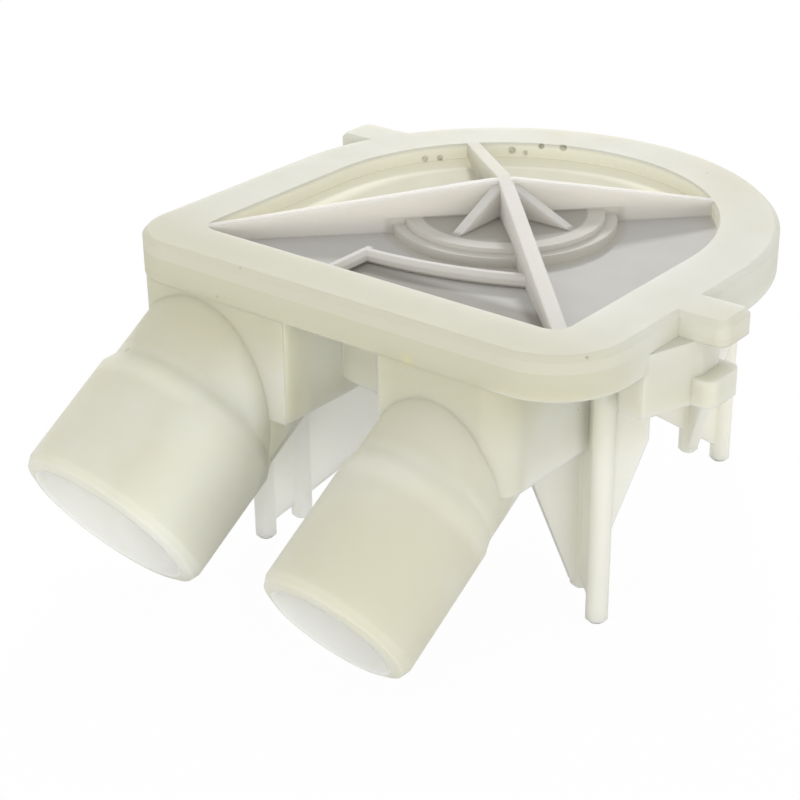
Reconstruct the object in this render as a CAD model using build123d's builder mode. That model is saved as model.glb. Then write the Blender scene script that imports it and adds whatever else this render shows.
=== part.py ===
from build123d import *
import os
from math import cos, radians, sin, sqrt

# Washing machine drain pump: a body with two inclined hose ports, a welded cover and an impeller.
# Millimetres, +Z up. The origin is on the drive axis, in the plane of the leg tips.
# The ports point to the front, -Y, and slope down towards the motor.

# Flange, shared by body and cover
flange_half = 50.0  # half width, and the radius of the round back
flange_front = 50.4  # drive axis to front edge
left_corner = 11.2  # front corners
right_corner = 14.2
rim_top = 60.0  # top of the flange above the leg tips
cover_flange = 3.0
body_flange = 4.7
rim_edge = 0.9  # bevel of the flange's top edge

# Sunk panel of the cover
rim_width = 10.8
recess_corner = 3.4
recess_depth = 3.0
panel_floor = 2.4
panel_wall = 2.2
panel_gap = 0.2  # between the panel and the body's opening

# Ribs, hub and steps on the panel
hub_rise = 6.1  # hub top above the rim
hub_flat = 2.2
wide_rib = 2.6
thin_rib = 1.8
gusset_thick = 2.0
gusset_reach = 15.0
gusset_drop = 0.8  # gusset top below the hub top
step_radius = 18.5
step_drop = 0.4  # step top below the rim
ledge_radius = 20.8
ledge_drop = 1.3
curb_thick = 2.5
curb_drop = 0.7
curb_bevel = 0.7
curb_left = -9.4
curb_from_front = 10.8  # the curb's left end behind the front rim
curb_middle = 5.6
curb_bow = 2.0  # the curb's middle behind its left end
curb_end_radius = 30.0  # where the curb meets the wide rib

# Chamber and port boxes of the body
wall = 2.4
chamber_radius = 36.0
chamber_depth = 24.0  # below the rim top
box_depth = 27.5
box_gap = 10.6  # half the gap between the two boxes
box_back = 12.0
skirt_inset = 0.2  # box walls inside the flange edge
outlet_box_edge = 1.7  # box wall outside the outlet port
outlet_box_corner = 5.0

# Hose ports
port_tilt = 33.3  # degrees below level
port_skew = 2.0  # degrees towards -X
port_front = 50.0  # the ports' axes are given at this distance in front of the drive axis
port_drop = 28.9  # and at this depth below the rim top
port_step = 5.0  # where the thicker hose seat starts
port_root = 34.0  # how far the port runs back into its box
port_ramp = 2.5  # length of the slope up to the hose seat
port_lip = 2.2  # the mouth's outer edge is rounded in two steps
inlet_inset = 18.2  # the inlet's axis inside the flange's side
inlet_radius = 18.3
inlet_base = 17.2
inlet_bore = 15.2
inlet_length = 28.4
outlet_x = 21.2
outlet_radius = 14.0
outlet_base = 13.3
outlet_bore = 11.2
outlet_length = 30.1

# Legs
leg_angle = -33.5  # degrees, the leg right of the ports
leg_count = 4
pin_radius = 2.0
pin_inset = 0.2  # outer pins inside the flange edge
pin_spacing = 7.2  # outer to inner pin
pin_bevel = 0.6
inner_short = 3.2  # inner tips above the outer tips
web_thick = 2.2
web_low = 2.7  # lower edge of the radial web at the outer pin
web_slope = 0.66  # and its rise towards the boss
web_above_tip = 1.2
inner_web_width = 20.0
outer_web_low = 14.5
outer_web_high = 35.0
outer_web_width = 7.9

# Clip lugs
right_lug_reach = 8.6  # beyond the half width
right_lug_ahead = 16.5  # middle of the lug in front of the drive axis
left_lug_reach = 4.0
left_lug_behind = 21.2
lug_width = 9.4
lug_round = 2.0
lug_root = 5.0  # how far the lugs run into the flange
upper_lug_drop = 4.3  # underside of the upper lug below the rim top
lower_lug_drop = 11.0
lower_lug_thick = 4.8
lower_lug_short = 1.6  # the lower lugs end inside the upper ones
clip_notch = 4.9  # depth of the clip's notch between the lugs
lug_brace = 11.5  # length of the sloping brace in front of the right lugs

# Drive: stem, seal, bush
shaft_radius = 4.76
shaft_flat = 3.9  # drive axis to the flat of the D
stem_radius = 8.0
drive_depth = 24.0
boss_wall = 2.6
boss_depth = 40.0  # below the rim top
bush_wall = 2.4
bush_length = 9.0
seal_height = 6.0
seal_wall = 1.6
lip_height = 4.8
running_gap = 0.05
spring_wire = 0.5  # radius
spring_gap = 0.05
washer_thick = 1.0
washer_width = 3.0
ring_thick = 1.2
ring_width = 2.6
ring_groove = 0.8
ring_opening = 3.0
ring_gap = 0.3
stem_below_ring = 2.0

# Impeller
impeller_gap = 6.6  # between the vanes and the chamber wall
disc_thick = 2.2
disc_gap = 1.4  # under the disc
vane_count = 6
vane_thick = 2.4
vane_gap = 1.6  # under the cover's panel
vane_corner = 5.0
hub_radius = 10.0
hub_nose = 6.0

# Radii and plan positions that follow from these
recess_half = flange_half - rim_width
recess_front = flange_front - rim_width
corner_way = (recess_half + recess_front - 2 * recess_corner) * sqrt(0.5) + recess_corner
curb_start = (curb_left, curb_from_front - recess_front)
inlet_x = inlet_inset - flange_half
outlet_box_side = outlet_x + outlet_base + outlet_box_edge
outer_circle = flange_half - pin_inset - pin_radius
inner_circle = outer_circle - pin_spacing
running_radius = stem_radius + running_gap
bush_radius = running_radius + bush_wall
seal_radius = running_radius + 2 * (seal_wall + spring_wire + spring_gap)
boss_radius = max(seal_radius, bush_radius) + boss_wall
washer_radius = running_radius + washer_width
groove_radius = stem_radius - ring_groove
ring_radius = groove_radius + ring_width
impeller_radius = chamber_radius - wall - impeller_gap

# Levels above the leg tips
seam = rim_top - cover_flange
flange_bottom = seam - body_flange
recess_floor = rim_top - recess_depth
panel_bottom = recess_floor - panel_floor
chamber_bottom = rim_top - chamber_depth
chamber_floor = chamber_bottom + wall
box_bottom = rim_top - box_depth
boss_bottom = rim_top - boss_depth
upper_lug_bottom = rim_top - upper_lug_drop
lower_lug_top = rim_top - lower_lug_drop
lower_lug_bottom = lower_lug_top - lower_lug_thick
seal_bottom = boss_bottom + bush_length
ring_top = boss_bottom - washer_thick - ring_gap
stem_bottom = ring_top - ring_thick - stem_below_ring
disc_bottom = chamber_floor + disc_gap
disc_top = disc_bottom + disc_thick
vane_top = panel_bottom - vane_gap


def flange_outline(height, inset, left, right):
    # Round back, straight sides and a flat front with rounded corners, left and right
    half = flange_half - inset
    front = flange_front - inset
    with BuildSketch(Plane.XY.offset(height)) as outline:
        Circle(half)
        with Locations((0, -front / 2)):
            Rectangle(2 * half, front)
        fillet(outline.vertices().group_by(Axis.Y)[0].sort_by(Axis.X)[0], left)
        fillet(outline.vertices().group_by(Axis.Y)[0].sort_by(Axis.X)[-1], right)
    return outline.sketch


def lug_outline(height, short=0):
    # One lug on each side
    with BuildSketch(Plane.XY.offset(height)) as outline:
        for side, middle, root, face, reach in lugs:
            with Locations((side * (root + reach - short) / 2, middle)):
                RectangleRounded(reach - short - root, lug_width, lug_round)
    return outline.sketch


def wall_outline(height):
    # Clip walls between the lugs, the right one with a brace that slopes back to the flange
    with BuildSketch(Plane.XY.offset(height)) as walls:
        for side, middle, root, face, reach in lugs:
            with Locations((side * (root + face) / 2, middle)):
                Rectangle(face - root, lug_width - 2 * lug_round)
        side, middle, root, face, reach = lugs[0]
        ahead = middle - lug_width / 2 + lug_round
        with BuildLine():
            Polyline(
                (root, ahead - lug_brace),
                (flange_half - skirt_inset, ahead - lug_brace),
                (face, ahead),
                (face, middle),
                (root, middle),
                close=True,
            )
        make_face()
    return walls.sketch


def box_outline(height, side, reach, corner, inset):
    # Plan of a port box: its outer front corner follows the flange
    front = flange_front - skirt_inset - inset
    near = box_gap + inset
    far = reach - inset
    with BuildSketch(Plane.XY.offset(height)) as box:
        with BuildLine():
            Polyline(
                (side * near, -front),
                (side * far, -front),
                (side * far, -box_back - inset),
                (side * near, -box_back - inset),
                close=True,
            )
        make_face()
        outer = box.vertices().group_by(Axis.Y)[0].sort_by(Axis.X)[0 if side < 0 else -1]
        fillet(outer, corner - inset)
    return box.sketch


def port_plane(x):
    # Z of this plane runs out along the port
    tilt, skew = radians(port_tilt), radians(port_skew)
    return Plane(
        origin=(x, -port_front, rim_top - port_drop),
        x_dir=(cos(skew), -sin(skew), 0),
        z_dir=(-sin(skew) * cos(tilt), -cos(skew) * cos(tilt), -sin(tilt)),
    )


def port_profile(x, base, radius, length):
    # Half section of a port: X from its axis, Y along it
    lip_step = port_lip * (1 - sqrt(0.5))
    axis_plane = port_plane(x)
    section = Plane(
        origin=axis_plane.origin,
        x_dir=axis_plane.x_dir,
        z_dir=axis_plane.x_dir.cross(axis_plane.z_dir),
    )
    with BuildSketch(section) as profile:
        with BuildLine():
            Polyline(
                (0, -port_root),
                (base, -port_root),
                (base, port_step - port_ramp),
                (radius, port_step),
                (radius, length - port_lip),
                (radius - lip_step, length - lip_step),
                (radius - port_lip, length),
                (0, length),
                close=True,
            )
        make_face()
    return profile.sketch


def upright(angle, radius, turn):
    # Upright plane at a leg: local X is radial (turn 0) or tangential (turn 90), local Y is up
    heading = angle + turn
    return Plane(
        origin=(radius * cos(radians(angle)), radius * sin(radians(angle)), 0),
        x_dir=(cos(radians(heading)), sin(radians(heading)), 0),
        z_dir=(sin(radians(heading)), -cos(radians(heading)), 0),
    )


def upright_face(plane, points):
    with BuildSketch(plane) as face:
        with BuildLine():
            Polyline(*points, close=True)
        make_face()
    return face.sketch


def curb_section(start, way):
    # Upright section of the curb with a bevelled top
    with BuildSketch(Plane(origin=start, x_dir=Vector(0, 0, 1).cross(way), z_dir=way)) as section:
        Rectangle(curb_thick, recess_depth - curb_drop, align=(Align.CENTER, Align.MIN))
        chamfer(section.vertices().group_by(Axis.Z)[-1], curb_bevel)
    return section.sketch


ports = (
    (inlet_x, inlet_base, inlet_radius, inlet_bore, inlet_length),
    (outlet_x, outlet_base, outlet_radius, outlet_bore, outlet_length),
)
boxes = (
    (-1, flange_half - skirt_inset, left_corner - skirt_inset),
    (1, outlet_box_side, outlet_box_corner),
)
leg_angles = [leg_angle + 360 / leg_count * k for k in range(leg_count)]
left_lug_end = left_lug_behind + lug_width / 2
left_clip_face = sqrt(flange_half**2 - left_lug_end**2) - skirt_inset
right_reach = flange_half + right_lug_reach
lugs = (
    (1, -right_lug_ahead, flange_half - lug_root, right_reach - clip_notch, right_reach),
    (-1, left_lug_behind, left_clip_face - lug_root, left_clip_face, flange_half + left_lug_reach),
)

# Body: chamber, boxes, ports, boss, legs and lower lugs are made below the flange, hollowed, then closed by it
with BuildPart() as pump_body:
    with BuildSketch(Plane.XY.offset(chamber_bottom)):
        Circle(chamber_radius)
    extrude(amount=flange_bottom - chamber_bottom)
    for side, reach, corner in boxes:
        extrude(box_outline(box_bottom, side, reach, corner, 0), amount=flange_bottom - box_bottom)
    for x, base, radius, bore, length in ports:
        axis_plane = port_plane(x)
        revolve(port_profile(x, base, radius, length), axis=Axis(axis_plane.origin, axis_plane.z_dir))

    # Seal boss under the chamber floor
    with BuildSketch(Plane.XY.offset(boss_bottom)):
        Circle(boss_radius)
    extrude(amount=chamber_floor - boss_bottom)

    # Legs: an outer and an inner pin, a radial web from them to the boss and a sloping web at each pin
    inner_low = inner_short + web_above_tip
    web_root = boss_radius - boss_wall / 2
    web_join = chamber_radius - wall / 2
    for angle in leg_angles:
        for circle, tip in ((outer_circle, 0), (inner_circle, inner_short)):
            foot = Plane(origin=upright(angle, circle, 0).origin + Vector(0, 0, tip))
            with BuildSketch(foot):
                Circle(pin_radius)
            extrude(amount=flange_bottom - tip)
        radial = [
            (web_join, flange_bottom),
            (outer_circle, flange_bottom),
            (outer_circle, web_low),
            (web_root, web_low + web_slope * (outer_circle - web_root)),
            (web_root, chamber_bottom + wall / 2),
            (web_join, chamber_bottom + wall / 2),
        ]
        extrude(upright_face(upright(angle, 0, 0), radial), amount=web_thick / 2, both=True)
        outer_web = [
            (0, outer_web_low),
            (outer_web_width, outer_web_high),
            (outer_web_width, flange_bottom),
            (0, flange_bottom),
        ]
        extrude(upright_face(upright(angle, outer_circle, 90), outer_web), amount=web_thick / 2, both=True)
        inner_web = [
            (0, inner_low),
            (-pin_radius, inner_low),
            (-inner_web_width, flange_bottom),
            (0, flange_bottom),
        ]
        extrude(upright_face(upright(angle, inner_circle, 90), inner_web), amount=web_thick / 2, both=True)
    tips = pump_body.faces().filter_by(Plane.XY).filter_by(lambda f: f.center().Z < inner_short + pin_bevel)
    chamfer(tips.edges(), pin_bevel)

    # Everything so far stops at the underside of the flange
    split(bisect_by=Plane.XY.offset(flange_bottom), keep=Keep.BOTTOM)

    # Water space of the boxes and ports
    for side, reach, corner in boxes:
        space = box_outline(box_bottom + wall, side, reach, corner, wall)
        extrude(space, amount=rim_top, mode=Mode.SUBTRACT)
    for x, base, radius, bore, length in ports:
        with BuildSketch(port_plane(x).offset(-port_root + wall)):
            Circle(bore)
        extrude(amount=port_root - wall + length, mode=Mode.SUBTRACT)

    # Flange and clip lugs: the lower ones, the walls above them and the underside of the upper ones
    extrude(flange_outline(flange_bottom, 0, left_corner, right_corner), amount=body_flange)
    extrude(lug_outline(lower_lug_bottom, lower_lug_short), amount=lower_lug_thick)
    extrude(wall_outline(lower_lug_bottom), amount=upper_lug_bottom - lower_lug_bottom)
    extrude(lug_outline(upper_lug_bottom), amount=seam - upper_lug_bottom)

    # Pocket for the cover's panel, and the chamber's mouth
    pocket_corner = recess_corner + panel_wall + panel_gap
    pocket = flange_outline(
        panel_bottom - panel_gap,
        rim_width - panel_wall - panel_gap,
        pocket_corner,
        pocket_corner,
    )
    extrude(pocket, amount=rim_top, mode=Mode.SUBTRACT)
    with BuildSketch(Plane.XY.offset(chamber_floor)):
        Circle(chamber_radius - wall)
    extrude(amount=rim_top, mode=Mode.SUBTRACT)

    # Seats of the seal and the bush
    with BuildSketch(Plane.XY.offset(seal_bottom)):
        Circle(seal_radius)
    extrude(amount=rim_top, mode=Mode.SUBTRACT)
    with BuildSketch(Plane.XY.offset(boss_bottom)):
        Circle(bush_radius)
    extrude(amount=bush_length, mode=Mode.SUBTRACT)

pump_body.part.label = "pump_body"

# Cover: flange ring, sunk panel and the ribs that stand on it
with BuildPart() as cover:
    extrude(flange_outline(seam, 0, left_corner, right_corner), amount=cover_flange)
    chamfer(cover.faces().sort_by(Axis.Z)[-1].outer_wire().edges(), rim_edge)
    with BuildPart() as upper_lugs:
        extrude(lug_outline(seam), amount=cover_flange)
        chamfer(upper_lugs.faces().group_by(Axis.Z)[-1].edges(), rim_edge)
    panel = rim_width - panel_wall
    panel_corner = recess_corner + panel_wall
    extrude(flange_outline(panel_bottom, panel, panel_corner, panel_corner), amount=seam - panel_bottom)
    recess = flange_outline(recess_floor, rim_width, recess_corner, recess_corner)
    extrude(recess, amount=recess_depth + rim_top, mode=Mode.SUBTRACT)

    # Round step and ledge under the hub
    for radius, drop in ((ledge_radius, ledge_drop), (step_radius, step_drop)):
        with BuildSketch(Plane.XY.offset(recess_floor)):
            Circle(radius)
        extrude(amount=recess_depth - drop)

    # Curb from the wide rib to the left, and on from there to the front rim
    curb_rib = curb_end_radius * sqrt(0.5)
    with BuildLine(Plane.XY.offset(recess_floor)) as curb_way:
        ThreePointArc(curb_start, (curb_middle, curb_start[1] + curb_bow), (curb_rib, -curb_rib))
    sweep(curb_section(curb_way.line @ 0, curb_way.line % 0), path=curb_way.line)
    curb_turn = Vector(curb_start[0], curb_start[1] + curb_thick / 2, recess_floor)
    extrude(curb_section(curb_turn, Vector(0, -1, 0)), amount=curb_from_front + curb_thick / 2 + rim_edge)

    # Two crossed ribs fall from the hub to the rim
    for heading, thick in ((-45, wide_rib), (-135, thin_rib)):
        crest = [
            (corner_way + rim_edge, recess_floor),
            (corner_way + rim_edge, rim_top),
            (corner_way, rim_top),
            (hub_flat, rim_top + hub_rise),
            (-hub_flat, rim_top + hub_rise),
            (-recess_half, rim_top),
            (-recess_half - rim_edge, rim_top),
            (-recess_half - rim_edge, recess_floor),
        ]
        extrude(upright_face(upright(heading, 0, 0), crest), amount=thick / 2, both=True)

    # Short gussets between them
    for heading in range(0, 360, 90):
        gusset = [
            (0, rim_top + hub_rise - gusset_drop),
            (hub_flat, rim_top + hub_rise - gusset_drop),
            (gusset_reach, rim_top - step_drop),
            (0, rim_top - step_drop),
        ]
        extrude(upright_face(upright(heading, 0, 0), gusset), amount=gusset_thick / 2, both=True)

cover.part.label = "cover"

# Impeller: disc, vanes, hub and stem, with the D-shaped drive bore from below
with BuildPart() as impeller:
    with BuildSketch(Plane.XZ):
        with BuildLine():
            Polyline(
                (0, stem_bottom),
                (stem_radius, stem_bottom),
                (stem_radius, disc_bottom),
                (impeller_radius, disc_bottom),
                (impeller_radius, disc_top),
                (hub_radius, disc_top),
                (hub_nose, vane_top),
                (0, vane_top),
                close=True,
            )
        make_face()
    revolve(axis=Axis.Z)
    vane = [
        (0, disc_top),
        (impeller_radius, disc_top),
        (impeller_radius, vane_top - vane_corner),
        (impeller_radius - vane_corner, vane_top),
        (0, vane_top),
    ]
    for k in range(vane_count):
        extrude(upright_face(upright(360 / vane_count * k, 0, 0), vane), amount=vane_thick / 2, both=True)
    with BuildSketch(Plane.XY.offset(stem_bottom)) as drive:
        Circle(shaft_radius)
        with Locations((0, shaft_flat)):
            Rectangle(2 * shaft_radius, shaft_radius, align=(Align.CENTER, Align.MIN), mode=Mode.SUBTRACT)
    extrude(amount=drive_depth, mode=Mode.SUBTRACT)
    with BuildSketch(Plane.XY.offset(ring_top - ring_thick)):
        Circle(ring_radius)
        Circle(groove_radius, mode=Mode.SUBTRACT)
    extrude(amount=ring_thick, mode=Mode.SUBTRACT)

impeller.part.label = "impeller"

# Lip seal: outer ring, floor and a lip that leans on the stem
with BuildPart() as shaft_seal:
    with BuildSketch(Plane.XZ):
        with BuildLine():
            Polyline(
                (seal_radius, seal_bottom),
                (seal_radius, seal_bottom + seal_height),
                (seal_radius - seal_wall, seal_bottom + seal_height),
                (seal_radius - seal_wall, seal_bottom + seal_wall),
                (running_radius + seal_wall, seal_bottom + seal_wall),
                (running_radius + seal_wall / 2, seal_bottom + lip_height),
                (running_radius, seal_bottom + lip_height),
                (running_radius + seal_wall / 2, seal_bottom),
                close=True,
            )
        make_face()
    revolve(axis=Axis.Z)

shaft_seal.part.label = "shaft_seal"

# Garter spring round the lip, as a ring of square section
spring_circle = running_radius + seal_wall + spring_wire + spring_gap
with BuildPart() as garter_spring:
    with BuildSketch(Plane.XZ):
        with Locations((spring_circle, seal_bottom + seal_wall + spring_wire + spring_gap)):
            RegularPolygon(spring_wire, 4)
    revolve(axis=Axis.Z)

garter_spring.part.label = "garter_spring"

# Plain bush under the seal
with BuildPart() as bearing_bush:
    with BuildSketch(Plane.XY.offset(boss_bottom)):
        Circle(bush_radius)
        Circle(running_radius, mode=Mode.SUBTRACT)
    extrude(amount=bush_length)

bearing_bush.part.label = "bearing_bush"

# Thrust washer under the bush
with BuildPart() as thrust_washer:
    with BuildSketch(Plane.XY.offset(boss_bottom - washer_thick)):
        Circle(washer_radius)
        Circle(running_radius, mode=Mode.SUBTRACT)
    extrude(amount=washer_thick)

thrust_washer.part.label = "thrust_washer"

# Snap ring in the stem's groove, open on one side
with BuildPart() as retaining_ring:
    with BuildSketch(Plane.XY.offset(ring_top - ring_thick)):
        Circle(ring_radius)
        Circle(groove_radius, mode=Mode.SUBTRACT)
        with Locations((ring_radius, 0)):
            Rectangle(2 * ring_radius, ring_opening, mode=Mode.SUBTRACT)
    extrude(amount=ring_thick)

retaining_ring.part.label = "retaining_ring"

os.makedirs("parts", exist_ok=True)
pieces = (
    pump_body,
    cover,
    impeller,
    shaft_seal,
    garter_spring,
    bearing_bush,
    thrust_washer,
    retaining_ring,
)
for piece in pieces:
    export_step(piece.part, f"parts/{piece.part.label}.step")
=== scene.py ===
import bpy
from math import radians
from mathutils import Euler, Matrix, Vector


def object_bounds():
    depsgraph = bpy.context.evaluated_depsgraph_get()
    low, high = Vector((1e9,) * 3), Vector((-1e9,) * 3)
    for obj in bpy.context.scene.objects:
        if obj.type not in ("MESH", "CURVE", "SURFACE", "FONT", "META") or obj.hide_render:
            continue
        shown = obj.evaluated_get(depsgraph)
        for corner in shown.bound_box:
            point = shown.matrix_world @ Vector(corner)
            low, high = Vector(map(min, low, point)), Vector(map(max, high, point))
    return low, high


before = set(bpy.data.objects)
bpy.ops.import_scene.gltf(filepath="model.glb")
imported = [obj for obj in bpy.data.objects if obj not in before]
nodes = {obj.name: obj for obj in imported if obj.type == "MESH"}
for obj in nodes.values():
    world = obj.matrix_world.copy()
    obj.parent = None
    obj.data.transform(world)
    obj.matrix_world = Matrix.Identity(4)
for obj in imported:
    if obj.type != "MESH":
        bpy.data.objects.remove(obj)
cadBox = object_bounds()
millimetre = 0.001
print("frame loaded:", ", ".join(sorted(nodes)))


# Small helpers for lengths, colours and shader trees

def metres(*lengths):
    # from millimetres
    return [length * millimetre for length in lengths]


def srgb(red, green, blue):
    # colour as read off a screen, 0 to 255
    return [((c / 255 + 0.055) / 1.055) ** 2.4 for c in (red, green, blue)] + [1.0]


def newMaterial(name):
    mat = bpy.data.materials.new(name)
    mat.use_nodes = True
    tree = mat.node_tree
    return mat, tree, tree.nodes["Principled BSDF"]


def addNode(tree, kind, **inputs):
    node = tree.nodes.new("ShaderNode" + kind)
    for key, value in inputs.items():
        node.inputs[key.replace("_", " ")].default_value = value
    return node


def setOrLink(tree, socket, value):
    if isinstance(value, (int, float, list)):
        socket.default_value = value
    else:
        tree.links.new(value, socket)


def math(tree, operation, first, second=0.0):
    node = tree.nodes.new("ShaderNodeMath")
    node.operation = operation
    setOrLink(tree, node.inputs[0], first)
    setOrLink(tree, node.inputs[1], second)
    return node.outputs[0]


def times(tree, product, *factors):
    for factor in factors:
        product = math(tree, "MULTIPLY", product, factor)
    return product


def vectorMath(tree, operation, first, second=(0, 0, 0), output="Value"):
    node = tree.nodes.new("ShaderNodeVectorMath")
    node.operation = operation
    tree.links.new(first, node.inputs[0])
    node.inputs[1].default_value = second
    return node.outputs[output]


def mixColours(tree, factor, below, above):
    node = tree.nodes.new("ShaderNodeMix")
    node.data_type = "RGBA"
    setOrLink(tree, node.inputs[0], factor)
    setOrLink(tree, node.inputs[6], below)  # 6 and 7 are the two colours
    setOrLink(tree, node.inputs[7], above)
    return node.outputs[2]


def ramp(tree, value, low, high, bottom=0.0, top=1.0):
    node = addNode(tree, "MapRange", From_Min=low, From_Max=high, To_Min=bottom, To_Max=top)
    node.interpolation_type = "SMOOTHSTEP"
    tree.links.new(value, node.inputs["Value"])
    return node.outputs[0]


def fade(tree, value, low, high):
    # 1 below low, falling to 0 at high
    return ramp(tree, value, low, high, 1.0, 0.0)


def between(tree, value, low, high, soft):
    # 1 from low to high, falling to 0 over a soft edge outside
    return times(tree, ramp(tree, value, low - soft, low), fade(tree, value, high, high + soft))


def patch(tree, first, second, spans):
    # 1 where both values lie in their spans, each given as low, high, soft edge
    return times(tree, between(tree, first, *spans[0]), between(tree, second, *spans[1]))


def noise(tree, place, scale, detail=3.0, roughness=0.55):
    node = addNode(tree, "TexNoise", Scale=scale, Detail=detail, Roughness=roughness)
    tree.links.new(place, node.inputs["Vector"])
    return node.outputs["Fac"]


# Natural polypropylene: milky, slightly yellow-green, light soaks into it

bodyLook = {
    "pale": srgb(213, 213, 202),
    "warm": srgb(207, 205, 186),
    "cloudScale": 28.0,
    "cloudRange": (0.35, 0.65),
    "flowScale": 160.0,
    "flowDetail": 5.0,
    "flowRange": (0.3, 0.7),
    "flowShare": 0.25,
    "thick": srgb(197, 195, 172),  # darker, yellower tone over the upper front
    "thickFront": metres(-28.0, -48.0),
    "thickUp": metres(40.0, 50.0),
    "gloss": 0.22,
    "refraction": 1.49,
    "roughness": (0.60, 0.63),
    "soakDepth": 6.0 * millimetre,
    "soakTint": (1.0, 0.97, 0.85),
    "soakShare": 0.85,
    "edgeRound": 0.6 * millimetre,
    "edgeSamples": 6,
    "rootRound": 7.0 * millimetre,  # soft blend where the ports leave the boxes
    "rootSpan": metres(-63.0, -56.0, 3.0),
    "rootTop": metres(48.0, 51.0),
    "seam": 57.0 * millimetre,
    "seamSoft": metres(0.3, 1.2),  # the weld has closed the two edges
    "seamDull": metres(1.0, 5.0),  # light soaks in less beside it
    "bumps": [(90.0, 1.0, 0.012 * millimetre), (2200.0, 2.0, 0.012 * millimetre)],  # scale, detail, depth
}
coverLook = dict(bodyLook, pale=srgb(214, 214, 204), warm=srgb(210, 208, 191), thick=srgb(203, 201, 182))
impellerLook = dict(bodyLook, warm=srgb(203, 201, 188))


def plasticSurface(tree, shader, look):
    place = addNode(tree, "TexCoord").outputs["Object"]
    parts = addNode(tree, "SeparateXYZ")
    tree.links.new(place, parts.inputs[0])
    along, up = parts.outputs[1], parts.outputs[2]

    cloud = ramp(tree, noise(tree, place, look["cloudScale"]), *look["cloudRange"])
    colour = mixColours(tree, cloud, look["pale"], look["warm"])
    flow = ramp(tree, noise(tree, place, look["flowScale"], look["flowDetail"]), *look["flowRange"])
    colour = mixColours(tree, times(tree, flow, look["flowShare"]), colour, look["warm"])
    atFront = times(tree, ramp(tree, along, *look["thickFront"]), ramp(tree, up, *look["thickUp"]))
    colour = mixColours(tree, atFront, colour, look["thick"])
    tree.links.new(ramp(tree, flow, 0.0, 1.0, *look["roughness"]), shader.inputs["Roughness"])

    # edges are rounded most at the port roots and not at all on the seam
    fromSeam = math(tree, "ABSOLUTE", math(tree, "SUBTRACT", up, look["seam"]))
    edgeRound = times(tree, ramp(tree, fromSeam, *look["seamSoft"]), look["edgeRound"])
    atRoot = times(tree, between(tree, along, *look["rootSpan"]), fade(tree, up, *look["rootTop"]))
    rootRound = times(tree, atRoot, look["rootRound"])
    edges = addNode(tree, "Bevel")
    edges.samples = look["edgeSamples"]
    tree.links.new(math(tree, "MAXIMUM", edgeRound, rootRound), edges.inputs["Radius"])
    normal = edges.outputs["Normal"]
    for scale, detail, depth in look["bumps"]:
        bump = addNode(tree, "Bump", Distance=depth)
        tree.links.new(noise(tree, place, scale, detail), bump.inputs["Height"])
        tree.links.new(normal, bump.inputs["Normal"])
        normal = bump.outputs["Normal"]
    tree.links.new(normal, shader.inputs["Normal"])

    soak = ramp(tree, fromSeam, *look["seamDull"], 0.0, look["soakShare"])
    tree.links.new(soak, shader.inputs["Subsurface Weight"])
    shader.inputs["Subsurface Radius"].default_value = look["soakTint"]
    shader.inputs["Subsurface Scale"].default_value = look["soakDepth"]
    shader.inputs["Specular IOR Level"].default_value = look["gloss"]
    shader.inputs["IOR"].default_value = look["refraction"]
    return place, parts.outputs, colour


# Dirt on the body and the cover

dirtLook = {
    "tone": srgb(112, 106, 88),
    "edge": 0.35,  # share of the radius over which a mark fades
    "grainScale": 1400.0,
    "grainRange": (0.35, 0.6),
    "grainShare": (0.55, 1.0),
}
# place and radius in millimetres, how dark
coverMarks = [
    ((-21.6, 32.7, 58.4), 0.75, 0.55),
    ((-19.3, 34.1, 57.9), 0.55, 0.45),
    ((-16.4, 35.6, 59.5), 0.60, 0.70),
    ((-12.2, 37.2, 59.7), 0.75, 0.75),
    ((-33.9, 19.7, 57.6), 0.65, 0.55),
    ((-32.1, 22.4, 57.4), 0.65, 0.55),
    ((47.2, -43.9, 59.5), 0.28, 0.50),
    ((-20.1, -49.7, 59.8), 0.25, 0.40),
    ((57.2, -17.8, 59.4), 0.25, 0.45),
    ((19.3, 40.1, 60.0), 0.25, 0.45),
]
bodyMarks = [
    ((36.2, -28.9, 41.3), 0.25, 0.35),
    ((-25.4, -50.4, 53.3), 0.25, 0.35),
    ((-38.4, -60.6, 43.2), 0.60, 0.25),
]
bodyStain = {
    "place": metres(16.9, -50.4, 53.0),
    "radius": 1.8 * millimetre,
    "share": 0.5,
    "colour": srgb(206, 206, 150),
}


def addMarks(tree, place, colour, marks):
    grain = noise(tree, place, dirtLook["grainScale"])
    rough = ramp(tree, grain, *dirtLook["grainRange"], *dirtLook["grainShare"])
    for spot, radius, share in marks:
        away = vectorMath(tree, "DISTANCE", place, metres(*spot))
        near, far = metres(radius * (1 - dirtLook["edge"]), radius * (1 + dirtLook["edge"]))
        mark = ramp(tree, away, near, far, share, 0.0)
        colour = mixColours(tree, times(tree, mark, rough), colour, dirtLook["tone"])
    return colour


def addStain(tree, place, colour):
    away = vectorMath(tree, "DISTANCE", place, bodyStain["place"])
    stain = ramp(tree, away, 0.0, bodyStain["radius"], bodyStain["share"], 0.0)
    return mixColours(tree, stain, colour, bodyStain["colour"])


# Body: painted light, as if light came through thin walls from behind and into shaded places: legs, webs,
# port bores, the walls in the gap, the larger port's flank and the port shoulders are painted paler, and
# the chamber wall at the end of the gap gets painted shade

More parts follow.
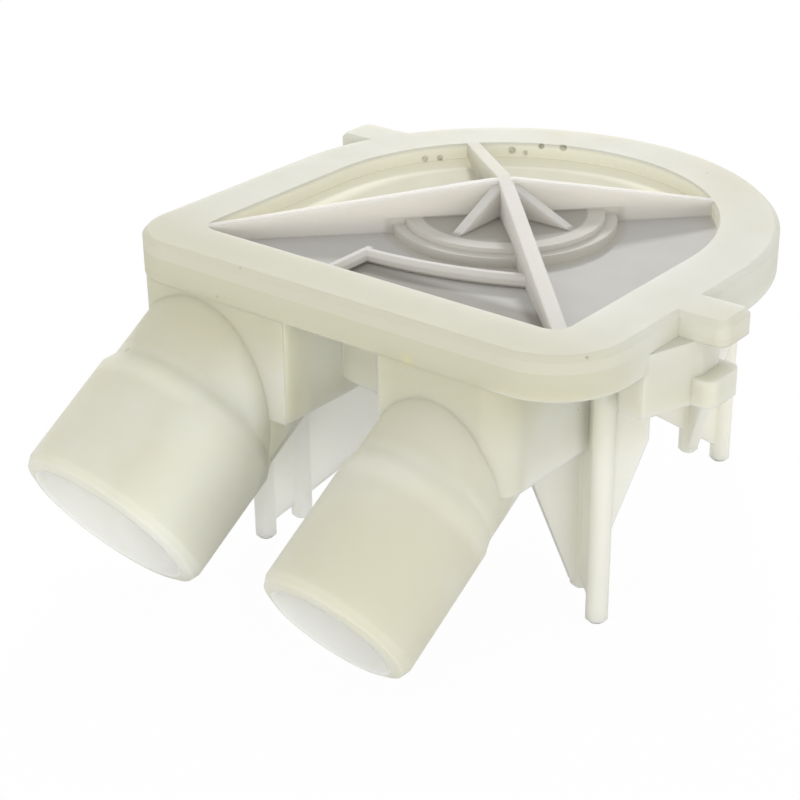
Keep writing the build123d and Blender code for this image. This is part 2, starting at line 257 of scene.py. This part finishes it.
paintedLightLook = {
    # painted light: near white where light would come through thin walls
    "tone": srgb(253, 253, 242),
    "gap": (metres(-16.0, -10.3, 0.3), metres(-49.6, -30.0, 0.4)),  # the larger port's box, beside the gap, painted lighter where shade falls
    "gapPaintedLight": srgb(234, 233, 211),
    "gapDeepFrom": metres(-48.0, -39.0),
    "gapDeepPaintedLight": srgb(255, 254, 234),
    "window": (metres(-9.8, 9.8, 0.3), metres(-37.2, -33.0, 0.6)),  # chamber wall at the end of the gap, painted greyer as painted shade
    "windowPaintedShade": srgb(212, 212, 195),
    "legsTop": metres(42.0, 30.0),
    "legsFront": metres(-45.5, -42.5),
    "legPaintedLight": srgb(224, 223, 213),
    "paleLegAcross": (0.834, -0.552, 0.0),  # square to the web of the leg between the ports, the palest one
    "paleLeg": (metres(-4.0, 4.0, 1.0), metres(-42.0, -8.0, 2.0)),
    "flankSides": metres(-23.0, -14.0),  # side of the larger port that faces the other one, painted lighter where the other port shades it
    "flankEnd": metres(0.0, -2.0),
    "flankFront": metres(-50.0, -54.0),
    "flankShare": 0.45,
    "portWay": (-0.0292, -0.8353, -0.5490),  # the direction in which both ports point
    "ports": [  # root, radius of the bore and of the outside
        (metres(-31.8, -50.0, 31.1), 15.2 * millimetre, 18.3 * millimetre),
        (metres(21.2, -50.0, 31.1), 11.2 * millimetre, 14.0 * millimetre),
    ],
    "boreEdge": metres(0.05, 0.4),
    "boreFrom": metres(0.0, 4.0),
    "shoulder": metres(2.0, 6.0, 2.5),  # where a port narrows to its hose end, given painted light
    "shoulderEdge": metres(3.0, 5.0),
    "shoulderShare": 0.16,
}


def paintBodyLight(tree, place, parts, colour):
    across, along, up = parts
    # painted light on the walls in the gap, more of it deeper in
    deep = ramp(tree, along, *paintedLightLook["gapDeepFrom"])
    gapPaintedLight = mixColours(tree, deep, paintedLightLook["gapPaintedLight"], paintedLightLook["gapDeepPaintedLight"])
    colour = mixColours(tree, patch(tree, across, along, paintedLightLook["gap"]), colour, gapPaintedLight)
    # painted shade on the chamber wall at the end of the gap
    window = patch(tree, across, along, paintedLightLook["window"])
    colour = mixColours(tree, window, colour, paintedLightLook["windowPaintedShade"])
    # painted light: legs and the web between the ports painted paler, as if lit through from behind
    legs = times(tree, ramp(tree, up, *paintedLightLook["legsTop"]), ramp(tree, along, *paintedLightLook["legsFront"]))
    colour = mixColours(tree, legs, colour, paintedLightLook["legPaintedLight"])

    fromWeb = vectorMath(tree, "DOT_PRODUCT", place, paintedLightLook["paleLegAcross"])
    paintedLight = times(tree, legs, patch(tree, fromWeb, along, paintedLightLook["paleLeg"]))
    # painted light on the side of the larger port that the other port shades
    flank = times(tree,
                  ramp(tree, across, *paintedLightLook["flankSides"]),
                  ramp(tree, across, *paintedLightLook["flankEnd"]),
                  ramp(tree, along, *paintedLightLook["flankFront"]),
                  paintedLightLook["flankShare"])
    paintedLight = math(tree, "MAXIMUM", paintedLight, flank)
    # painted light in the port bores and on their shoulders
    for root, bore, outside in paintedLightLook["ports"]:
        offset = vectorMath(tree, "SUBTRACT", place, root, output="Vector")
        out = vectorMath(tree, "DOT_PRODUCT", offset, paintedLightLook["portWay"])
        aside = vectorMath(tree, "CROSS_PRODUCT", offset, paintedLightLook["portWay"], output="Vector")
        apart = vectorMath(tree, "LENGTH", aside)
        near, far = [bore + edge for edge in paintedLightLook["boreEdge"]]
        inBore = times(tree, fade(tree, apart, near, far), ramp(tree, out, *paintedLightLook["boreFrom"]))
        paintedLight = math(tree, "MAXIMUM", paintedLight, inBore)
        near, far = [outside + edge for edge in paintedLightLook["shoulderEdge"]]
        shoulder = times(tree, fade(tree, apart, near, far), between(tree, out, *paintedLightLook["shoulder"]))
        paintedLight = math(tree, "MAXIMUM", paintedLight, times(tree, shoulder, paintedLightLook["shoulderShare"]))
    # mix in the painted light
    return mixColours(tree, paintedLight, colour, paintedLightLook["tone"])


def bodyPlastic():
    mat, tree, shader = newMaterial("bodyPlastic")
    place, parts, colour = plasticSurface(tree, shader, bodyLook)
    colour = paintBodyLight(tree, place, parts, colour)
    colour = addStain(tree, place, colour)
    colour = addMarks(tree, place, colour, bodyMarks)
    tree.links.new(colour, shader.inputs["Base Color"])
    return mat


# Cover: its sunk panel is thin, lies over the dark chamber and is greyer than the rim; painted shade,
# painted shadows and painted light in it stand for the light in the recess

panelLook = {
    "wall": metres(38.4, 39.3),
    "wallPaintedLight": srgb(251, 249, 233),  # painted light: the rim's inner face painted paler, as if light came through the rim
    "wallBand": metres(39.2, 39.8, 0.3),
    "wallTop": metres(59.0, 60.0),
    "ribs": srgb(206, 203, 197),
    # painted shade: ribs behind the thin rib darker and yellower
    "ribsBackPaintedShade": srgb(200, 198, 184),
    "ribBehind": metres(0.0, 2.0),
    "ribBeside": metres(-1.0, 0.0),
    # painted shade: the sunk floor darker than the ribs
    "floor": srgb(189, 187, 182),
    "floorTop": metres(57.1, 57.5),
    "back": srgb(204, 202, 180),  # painted shade: the floor behind the thin rib darker and yellower, as if lit only through the rim
    "backFrom": metres(18.6, 22.0),
    # painted light: paler next to the back wall, where the rim's shadow falls
    "backEdge": srgb(236, 234, 212),
    "edgeFrom": metres(31.0, 35.0),
    # painted shadow on the round step around the hub
    "hubPaintedShadow": srgb(166, 163, 154),
    "hubShadowRadius": metres(20.5, 23.0),
    "hubShadowTop": metres(59.7, 60.1),
    "ring": srgb(196, 193, 184),  # painted light: the edge of the round step lighter within the painted shadow
    "ringRadius": metres(15.6, 22.0, 0.6),
    # painted shadow on the floor in front of the curved curb
    "curbPaintedShadow": srgb(150, 147, 139),
    "curbLine": metres(-31.5, -28.5),
    "curbEnd": metres(-10.0, -8.0),
}


def panelToneAndPaintedLight(tree, across, along, up, radius, reach):
    # panel colour with painted shade, painted shadows and painted light
    onFloor = fade(tree, up, *panelLook["floorTop"])
    pastRib = ramp(tree, math(tree, "SUBTRACT", along, across), *panelLook["ribBehind"])
    tone = mixColours(tree, pastRib, panelLook["ribs"], panelLook["ribsBackPaintedShade"])
    # painted shade on the sunk floor
    tone = mixColours(tree, onFloor, tone, panelLook["floor"])
    # painted shade and painted light on the floor behind the thin rib
    nearWall = ramp(tree, reach, *panelLook["edgeFrom"])
    backTone = mixColours(tree, nearWall, panelLook["back"], panelLook["backEdge"])
    backFloor = times(tree, pastRib, onFloor, ramp(tree, reach, *panelLook["backFrom"]))
    tone = mixColours(tree, backFloor, tone, backTone)
    # painted shadow around the hub
    hubShadow = times(tree,
                fade(tree, radius, *panelLook["hubShadowRadius"]),
                fade(tree, up, *panelLook["hubShadowTop"]))
    tone = mixColours(tree, hubShadow, tone, panelLook["hubPaintedShadow"])
    # painted light on the edge of the round step
    ring = times(tree, hubShadow, between(tree, radius, *panelLook["ringRadius"]))
    tone = mixColours(tree, ring, tone, panelLook["ring"])
    # painted shadow in front of the curb, beside the thin rib
    besideRib = fade(tree, math(tree, "ADD", across, along), *panelLook["ribBeside"])
    curbShadowPatch = times(tree,
                      fade(tree, along, *panelLook["curbLine"]),
                      ramp(tree, across, *panelLook["curbEnd"]),
                      besideRib, onFloor)
    return mixColours(tree, curbShadowPatch, tone, panelLook["curbPaintedShadow"])


def coverPlastic():
    mat, tree, shader = newMaterial("coverPlastic")
    place, parts, colour = plasticSurface(tree, shader, coverLook)
    across, along, up = parts

    # distance from the axis in the panel's outline, which is square in front and round behind
    square = math(tree, "MAXIMUM", math(tree, "ABSOLUTE", across), times(tree, along, -1.0))
    squares = math(tree, "ADD", math(tree, "POWER", across, 2.0), math(tree, "POWER", along, 2.0))
    radius = math(tree, "SQRT", squares)
    behind = math(tree, "GREATER_THAN", along, 0.0)
    reach = math(tree, "MAXIMUM", square, times(tree, radius, behind))

    # painted light on the rim's inner face
    innerFace = times(tree,
                      between(tree, reach, *panelLook["wallBand"]),
                      fade(tree, up, *panelLook["wallTop"]))
    colour = mixColours(tree, innerFace, colour, panelLook["wallPaintedLight"])
    # the panel's colour with its painted shade, shadows and light
    inside = fade(tree, reach, *panelLook["wall"])
    colour = mixColours(tree, inside, colour, panelToneAndPaintedLight(tree, across, along, up, radius, reach))
    colour = addMarks(tree, place, colour, coverMarks)
    tree.links.new(colour, shader.inputs["Base Color"])
    return mat


# Inner pieces

def impellerPlastic():
    mat, tree, shader = newMaterial("impellerPlastic")
    place, parts, colour = plasticSurface(tree, shader, impellerLook)
    tree.links.new(colour, shader.inputs["Base Color"])
    return mat


metalLook = {
    "springSteel": {"colour": srgb(188, 190, 194), "dull": srgb(140, 142, 148), "roughness": (0.22, 0.40)},
    "bushBronze": {"colour": srgb(186, 142, 82), "dull": srgb(138, 98, 54), "roughness": (0.35, 0.60)},
}
turningLook = {"stretch": (1.0, 1.0, 30.0), "scale": 180.0, "detail": 6.0, "range": (0.3, 0.7)}


def turnedMetal(name):
    look = metalLook[name]
    mat, tree, shader = newMaterial(name)
    place = addNode(tree, "TexCoord").outputs["Object"]
    stretch = addNode(tree, "Mapping", Scale=turningLook["stretch"])
    tree.links.new(place, stretch.inputs["Vector"])
    lines = noise(tree, stretch.outputs[0], turningLook["scale"], turningLook["detail"])
    rings = ramp(tree, lines, *turningLook["range"])
    tree.links.new(mixColours(tree, rings, look["colour"], look["dull"]), shader.inputs["Base Color"])
    tree.links.new(ramp(tree, rings, 0.0, 1.0, *look["roughness"]), shader.inputs["Roughness"])
    shader.inputs["Metallic"].default_value = 1.0
    return mat


rubberLook = {
    "colour": srgb(28, 28, 29),
    "bloom": srgb(58, 57, 56),
    "bloomScale": 240.0,
    "bloomDetail": 4.0,
    "bloomRange": (0.4, 0.8),
    "roughness": (0.5, 0.75),
}


def mouldedRubber():
    mat, tree, shader = newMaterial("mouldedRubber")
    place = addNode(tree, "TexCoord").outputs["Object"]
    grey = noise(tree, place, rubberLook["bloomScale"], rubberLook["bloomDetail"])
    bloom = ramp(tree, grey, *rubberLook["bloomRange"])
    colour = mixColours(tree, bloom, rubberLook["colour"], rubberLook["bloom"])
    tree.links.new(colour, shader.inputs["Base Color"])
    tree.links.new(ramp(tree, bloom, 0.0, 1.0, *rubberLook["roughness"]), shader.inputs["Roughness"])
    return mat


acetalLook = {
    "colour": srgb(236, 236, 232),
    "cloud": srgb(220, 219, 212),
    "cloudScale": 120.0,
    "cloudRange": (0.3, 0.7),
    "roughness": (0.28, 0.42),
}


def acetal():
    mat, tree, shader = newMaterial("acetal")
    place = addNode(tree, "TexCoord").outputs["Object"]
    cloud = noise(tree, place, acetalLook["cloudScale"])
    colour = mixColours(tree, cloud, acetalLook["colour"], acetalLook["cloud"])
    tree.links.new(colour, shader.inputs["Base Color"])
    rough = ramp(tree, cloud, *acetalLook["cloudRange"], *acetalLook["roughness"])
    tree.links.new(rough, shader.inputs["Roughness"])
    return mat


steel = turnedMetal("springSteel")
finishes = {
    "pump_body": bodyPlastic(),
    "cover": coverPlastic(),
    "impeller": impellerPlastic(),
    "shaft_seal": mouldedRubber(),
    "garter_spring": steel,
    "retaining_ring": steel,
    "bearing_bush": turnedMetal("bushBronze"),
    "thrust_washer": acetal(),
}
for name, finish in finishes.items():
    nodes[name].data.materials.clear()
    nodes[name].data.materials.append(finish)
print("finishes set on", len(finishes), "pieces")


# Stage: white floor and white surroundings

stageLook = {
    "floorSide": 6.0,
    "floorColour": (0.92, 0.92, 0.92, 1.0),
    "whiteShare": 0.97,  # how much of the floor is plain white to the camera
    "skyColour": (1.0, 1.0, 1.0, 1.0),
    "skyLight": 0.82,
}


def seenDirectly(tree):
    # 1 for what the camera, a reflection or clear plastic looks at
    rays = addNode(tree, "LightPath")
    seen = math(tree, "MAXIMUM", rays.outputs["Is Camera Ray"], rays.outputs["Is Glossy Ray"])
    return math(tree, "MAXIMUM", seen, rays.outputs["Is Transmission Ray"])


def floorFinish():
    mat, tree, shader = newMaterial("floorWhite")
    shader.inputs["Base Color"].default_value = stageLook["floorColour"]
    shader.inputs["Roughness"].default_value = 1.0
    shader.inputs["Specular IOR Level"].default_value = 0.0
    glow = addNode(tree, "Emission", Strength=1.0)
    mix = addNode(tree, "MixShader")
    tree.links.new(times(tree, seenDirectly(tree), stageLook["whiteShare"]), mix.inputs[0])
    tree.links.new(shader.outputs[0], mix.inputs[1])
    tree.links.new(glow.outputs[0], mix.inputs[2])
    tree.links.new(mix.outputs[0], tree.nodes["Material Output"].inputs["Surface"])
    return mat


bpy.ops.object.select_all(action="DESELECT")
bpy.ops.mesh.primitive_plane_add(size=stageLook["floorSide"], location=(0, 0, cadBox[0].z))
floor = bpy.context.object
floor.name = "floor"
floor.data.materials.append(floorFinish())

world = bpy.data.worlds.new("whiteRoom")
bpy.context.scene.world = world
world.use_nodes = True
sky = world.node_tree
skyLight = sky.nodes["Background"]
skyLight.inputs["Color"].default_value = stageLook["skyColour"]
skyStrength = addNode(sky, "MapRange", To_Min=stageLook["skyLight"], To_Max=1.0)
sky.links.new(seenDirectly(sky), skyStrength.inputs["Value"])
sky.links.new(skyStrength.outputs[0], skyLight.inputs["Strength"])


# Lamps: a small one high behind the pump, and weak broad ones in front and to the right

lampLook = {
    "backBox": {"place": (-0.93, 1.30, 0.84), "size": (0.2, 0.2), "watts": 11.0},
    "frontBox": {"place": (0.4, -1.70, 0.30), "size": (1.6, 0.6), "watts": 7.5},
    "sideBox": {"place": (1.55, -0.55, 0.22), "size": (1.2, 0.5), "watts": 5.0},
}
lampAim = Vector((0, 0, 0.045))  # in the chamber
for name, look in lampLook.items():
    bpy.ops.object.light_add(type="AREA", location=look["place"])
    lamp = bpy.context.object
    lamp.name = name
    lamp.data.shape = "RECTANGLE"
    lamp.data.size, lamp.data.size_y = look["size"]
    lamp.data.energy = look["watts"]
    lamp.rotation_euler = (lampAim - lamp.location).to_track_quat("-Z", "Y").to_euler()
print("stage and lamps ready")


# Camera as the photograph was taken

cameraLook = {
    "place": (0.19029, -0.26735, 0.18209),
    "azimuth": 38.88,
    "elevation": 26.14,
    "roll": -0.72,
    "lens": 84.98,
    "sensor": 36.0,
    "clipStart": 0.01,
}
bpy.ops.object.camera_add(location=cameraLook["place"])
camera = bpy.context.object
turn = Euler((radians(90 - cameraLook["elevation"]), 0, radians(cameraLook["azimuth"]))).to_matrix()
camera.rotation_euler = (turn @ Matrix.Rotation(radians(cameraLook["roll"]), 3, "Z")).to_euler()
camera.data.lens = cameraLook["lens"]
camera.data.sensor_width = cameraLook["sensor"]
camera.data.clip_start = cameraLook["clipStart"]
bpy.context.scene.camera = camera
bpy.context.scene.view_settings.view_transform = "Standard"
print("camera placed")
